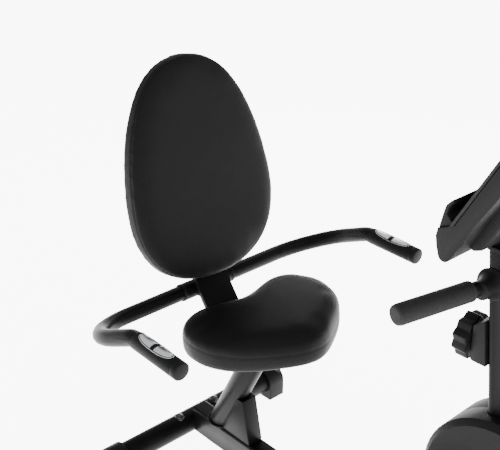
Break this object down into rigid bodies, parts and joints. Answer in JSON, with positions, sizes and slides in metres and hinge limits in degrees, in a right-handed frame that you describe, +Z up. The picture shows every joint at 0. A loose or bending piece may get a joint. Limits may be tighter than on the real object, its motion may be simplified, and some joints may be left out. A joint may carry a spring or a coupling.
{
  "type": "exercise bike",
  "caption": "Recumbent exercise bike: padded seat and backrest on a sliding carriage, side handles with pulse plates, belt drive, T-bar and tilting console.",
  "frame": {"origin": "centre of the bounding box on the floor", "axes": "+X forwards, the way the rider faces; +Y to the rider's left; +Z up"},
  "size_m": [1.2754, 0.6216, 0.9344],
  "materials": {
    "frame_paint": "satin black powder coat",
    "black_plastic": "fine-textured black",
    "grey_plastic": "dark grey, smooth",
    "foam": "closed-cell foam",
    "vinyl": "grained black vinyl",
    "soft_rubber": "matte",
    "steel": "brushed",
    "cast_iron": "painted rim, turned edge",
    "screen_glass": "clear-fronted dark display"
  },
  "bodies": {
    "frame": {"rear_stabilizer": "frame_paint", "front_stabilizer": "frame_paint", "main_beam": "frame_paint", "rear_leg": "frame_paint", "leg_gusset": "frame_paint", "seat_rail": "frame_paint", "front_post": "frame_paint", "tbar": "frame_paint", "bottom_bracket": "frame_paint", "flywheel_fork": "frame_paint", "console_mount": "frame_paint", "rear_foot_left": "black_plastic", "rear_foot_right": "black_plastic", "front_foot_left": "black_plastic", "front_foot_right": "black_plastic", "tension_block": "black_plastic", "housing_left": "black_plastic", "housing_right": "black_plastic", "foam_grip_left": "foam", "foam_grip_right": "foam", "drive_belt": "soft_rubber"},
    "seat_unit": {"seat_carriage": "frame_paint", "back_bracket": "frame_paint", "handlebar_left": "frame_paint", "handlebar_right": "frame_paint", "side_grip_left": "black_plastic", "side_grip_right": "black_plastic", "side_grip_cap_left": "grey_plastic", "side_grip_cap_right": "grey_plastic", "pulse_plate_rear_left": "steel", "pulse_plate_rear_right": "steel", "pulse_plate_front_left": "steel", "pulse_plate_front_right": "steel", "seat_board": "black_plastic", "seat_cushion": "vinyl", "back_board": "black_plastic", "back_cushion": "vinyl"},
    "lever": {"seat_lever": "black_plastic"},
    "crank": {"crank_axle": "steel", "crank_arm_left": "frame_paint", "crank_arm_right": "frame_paint", "drive_pulley": "black_plastic"},
    "flywheel_unit": {"flywheel": "cast_iron"},
    "brake": {"magnet_arm": "steel"},
    "left_pedal": {"pedal_left": "black_plastic", "foot_strap_left": "soft_rubber"},
    "right_pedal": {"pedal_right": "black_plastic", "foot_strap_right": "soft_rubber"},
    "knob": {"tension_knob": "black_plastic"},
    "console": {"console_front": "black_plastic", "console_back": "grey_plastic", "console_screen": "screen_glass", "tablet_ledge": "black_plastic"},
    "button_1": {"console_button_1": "grey_plastic"},
    "button_2": {"console_button_2": "grey_plastic"},
    "button_3": {"console_button_3": "grey_plastic"},
    "button_4": {"console_button_4": "grey_plastic"},
    "left_wheel": {"transport_wheel_left": "soft_rubber"},
    "right_wheel": {"transport_wheel_right": "soft_rubber"}
  },
  "joints": [
    {"name": "seat_slide", "type": "slide", "parent": "frame", "child": "seat_unit", "axis": [1, 0, 0], "range_m": [-0.05, 0.05]},
    {"name": "lever_lift", "type": "hinge", "parent": "seat_unit", "child": "lever", "pos_m": [-0.35426, 0.0283, 0.3094], "axis": [1, 0, 0], "range_deg": [0, 12], "stiffness_Nm_per_rad": 0.5, "springref_deg": -5.73},
    {"name": "flywheel_spin", "type": "hinge", "parent": "frame", "child": "flywheel_unit", "pos_m": [0.37874, 0, 0.233], "axis": [0, 1, 0], "continuous": true},
    {"name": "crank_spin", "type": "hinge", "parent": "frame", "child": "crank", "pos_m": [0.15003, 0, 0.32], "axis": [0, 1, 0], "continuous": true},
    {"name": "left_pedal_spin", "type": "hinge", "parent": "crank", "child": "left_pedal", "pos_m": [0.3041, 0.116, 0.39185], "axis": [0, 1, 0], "continuous": true},
    {"name": "right_pedal_spin", "type": "hinge", "parent": "crank", "child": "right_pedal", "pos_m": [-0.00405, -0.116, 0.24815], "axis": [0, 1, 0], "continuous": true},
    {"name": "knob_turn", "type": "hinge", "parent": "frame", "child": "knob", "pos_m": [0.06763, 0, 0.547], "axis": [-1, 0, 0], "range_deg": [0, 300]},
    {"name": "brake_swing", "type": "hinge", "parent": "frame", "child": "brake", "pos_m": [0.29486, 0, 0.35736], "axis": [0, -1, 0], "range_deg": [0, 3]},
    {"name": "console_tilt", "type": "hinge", "parent": "frame", "child": "console", "pos_m": [0.1166, 0, 0.72973], "axis": [0, 1, 0], "range_deg": [-3, 10]},
    {"name": "button_1_press", "type": "slide", "parent": "console", "child": "button_1", "axis": [0.8704, 0, -0.4924], "range_m": [0, 0.0015], "stiffness_N_per_m": 300, "springref_m": -0.0006},
    {"name": "button_2_press", "type": "slide", "parent": "console", "child": "button_2", "axis": [0.8704, 0, -0.4924], "range_m": [0, 0.0015], "stiffness_N_per_m": 300, "springref_m": -0.0006},
    {"name": "button_3_press", "type": "slide", "parent": "console", "child": "button_3", "axis": [0.8704, 0, -0.4924], "range_m": [0, 0.0015], "stiffness_N_per_m": 300, "springref_m": -0.0006},
    {"name": "button_4_press", "type": "slide", "parent": "console", "child": "button_4", "axis": [0.8704, 0, -0.4924], "range_m": [0, 0.0015], "stiffness_N_per_m": 300, "springref_m": -0.0006},
    {"name": "left_wheel_spin", "type": "hinge", "parent": "frame", "child": "left_wheel", "pos_m": [0.61374, 0.229, 0.031], "axis": [0, 1, 0], "continuous": true},
    {"name": "right_wheel_spin", "type": "hinge", "parent": "frame", "child": "right_wheel", "pos_m": [0.61374, -0.229, 0.031], "axis": [0, 1, 0], "continuous": true}
  ],
  "couplings": [
    {"joint": "crank_spin", "follows": "flywheel_spin", "ratio": 0.20952},
    {"joint": "brake_swing", "follows": "knob_turn", "ratio": 0.01}
  ]
}
